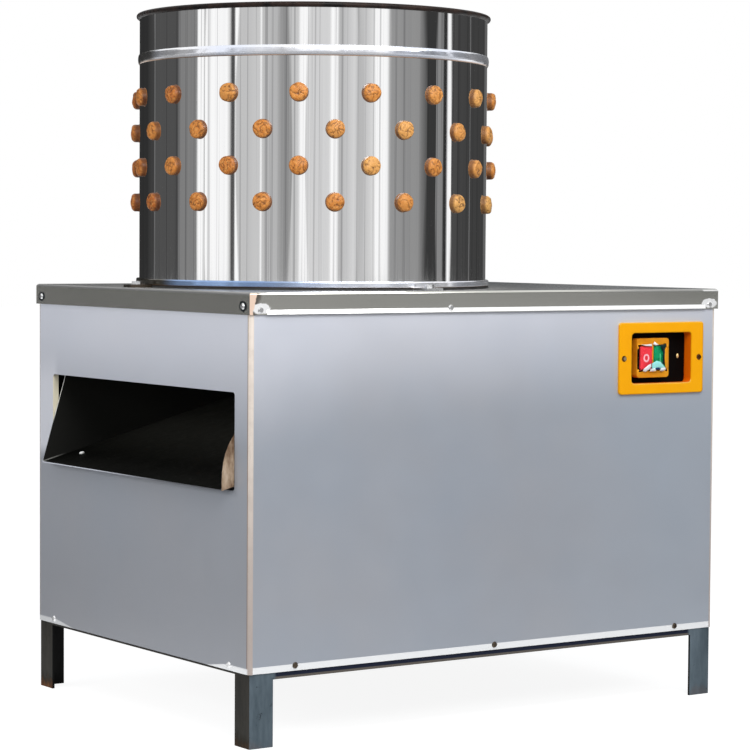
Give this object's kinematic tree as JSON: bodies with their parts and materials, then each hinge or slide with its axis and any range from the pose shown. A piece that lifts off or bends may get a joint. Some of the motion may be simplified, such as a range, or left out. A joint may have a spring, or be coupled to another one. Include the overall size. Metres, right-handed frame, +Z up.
{
  "type": "poultry plucker",
  "caption": "Drum poultry plucker: rubber-fingered steel drum off-centre on a panelled cabinet with legs, turning finger plate, belt drive, side feather chute and push-button switch.",
  "frame": {"origin": "on the floor, under the middle of the machine's bounding box", "axes": "+X to the right seen from the front, +Y from the front panel to the rear, +Z up"},
  "size_m": [0.92, 0.6608, 1.081],
  "materials": {
    "frame_steel": "worn dark paint on angle iron",
    "panel_sheet": "satin stainless sheet",
    "cover_sheet": "satin stainless sheet, darker",
    "zinc_steel": "zinc plated",
    "chute_sheet": "dark coated sheet",
    "black_rubber": "matt",
    "drum_stainless": "polished stainless",
    "dark_rim": "dark rolled edge",
    "finger_rubber": "tan rubber",
    "plate_aluminium": "satin",
    "cast_iron": "as cast",
    "bright_steel": "ground",
    "motor_paint": "semi gloss",
    "dark_plastic": "matt",
    "switch_yellow": "gloss",
    "switch_orange": "gloss",
    "button_green": "gloss",
    "button_red": "gloss"
  },
  "bodies": {
    "cabinet": {"leg_front_left": "frame_steel", "leg_front_right": "frame_steel", "leg_rear_left": "frame_steel", "leg_rear_right": "frame_steel", "bottom_rail_front": "frame_steel", "bottom_rail_rear": "frame_steel", "bottom_rail_left": "frame_steel", "bottom_rail_right": "frame_steel", "top_rail_front": "frame_steel", "top_rail_rear": "frame_steel", "top_rail_left": "frame_steel", "top_rail_right": "frame_steel", "mid_rail_front": "frame_steel", "mid_rail_rear": "frame_steel", "bearing_beam_left": "frame_steel", "bearing_beam_right": "frame_steel", "motor_plate": "frame_steel", "front_panel": "panel_sheet", "rear_panel": "panel_sheet", "left_panel": "panel_sheet", "right_panel": "panel_sheet", "top_cover": "cover_sheet", "sheet_screws": "zinc_steel", "hex_bolts": "zinc_steel", "feather_chute": "chute_sheet", "drum_gasket": "black_rubber", "base_ring": "drum_stainless", "drum_shell": "drum_stainless", "drum_hoop": "drum_stainless", "drum_rim": "dark_rim", "drum_clamps": "zinc_steel", "wall_fingers_row_1": "finger_rubber", "wall_fingers_row_2": "finger_rubber", "wall_fingers_row_3": "finger_rubber", "wall_fingers_row_4": "finger_rubber", "bearing_housing": "cast_iron", "bearing_outer_rings": "bright_steel", "v_belts": "black_rubber", "motor_flange": "motor_paint", "motor_body": "motor_paint", "motor_fan_cover": "motor_paint", "motor_terminal_box": "motor_paint", "switch_box": "switch_yellow", "switch_back_plate": "dark_plastic", "switch_body": "switch_orange", "cable_gland": "dark_plastic"},
    "plate_rotor": {"feather_plate": "plate_aluminium", "plate_fingers": "finger_rubber", "plate_hub": "cast_iron", "plate_bolts": "zinc_steel", "drive_shaft": "bright_steel", "shaft_slinger": "black_rubber", "bearing_inner_rings": "bright_steel", "driven_pulley": "cast_iron"},
    "motor_rotor": {"motor_pulley": "cast_iron", "motor_shaft": "bright_steel", "motor_fan": "dark_plastic"},
    "start_button": {"start_button": "button_green"},
    "stop_button": {"stop_button": "button_red"}
  },
  "joints": [
    {"name": "plate_spin", "type": "hinge", "parent": "cabinet", "child": "plate_rotor", "pos_m": [-0.122, 0.00075, 0.675], "axis": [0, 0, 1], "continuous": true},
    {"name": "motor_spin", "type": "hinge", "parent": "cabinet", "child": "motor_rotor", "pos_m": [0.3, 0.00075, 0.204], "axis": [0, 0, 1], "continuous": true},
    {"name": "start_press", "type": "slide", "parent": "cabinet", "child": "start_button", "axis": [0, 1, 0], "range_m": [0, 0.004], "stiffness_N_per_m": 900, "springref_m": -0.001},
    {"name": "stop_press", "type": "slide", "parent": "cabinet", "child": "stop_button", "axis": [0, 1, 0], "range_m": [0, 0.004], "stiffness_N_per_m": 900, "springref_m": -0.001}
  ],
  "couplings": [
    {"joint": "motor_spin", "follows": "plate_spin", "ratio": 4.6154}
  ]
}
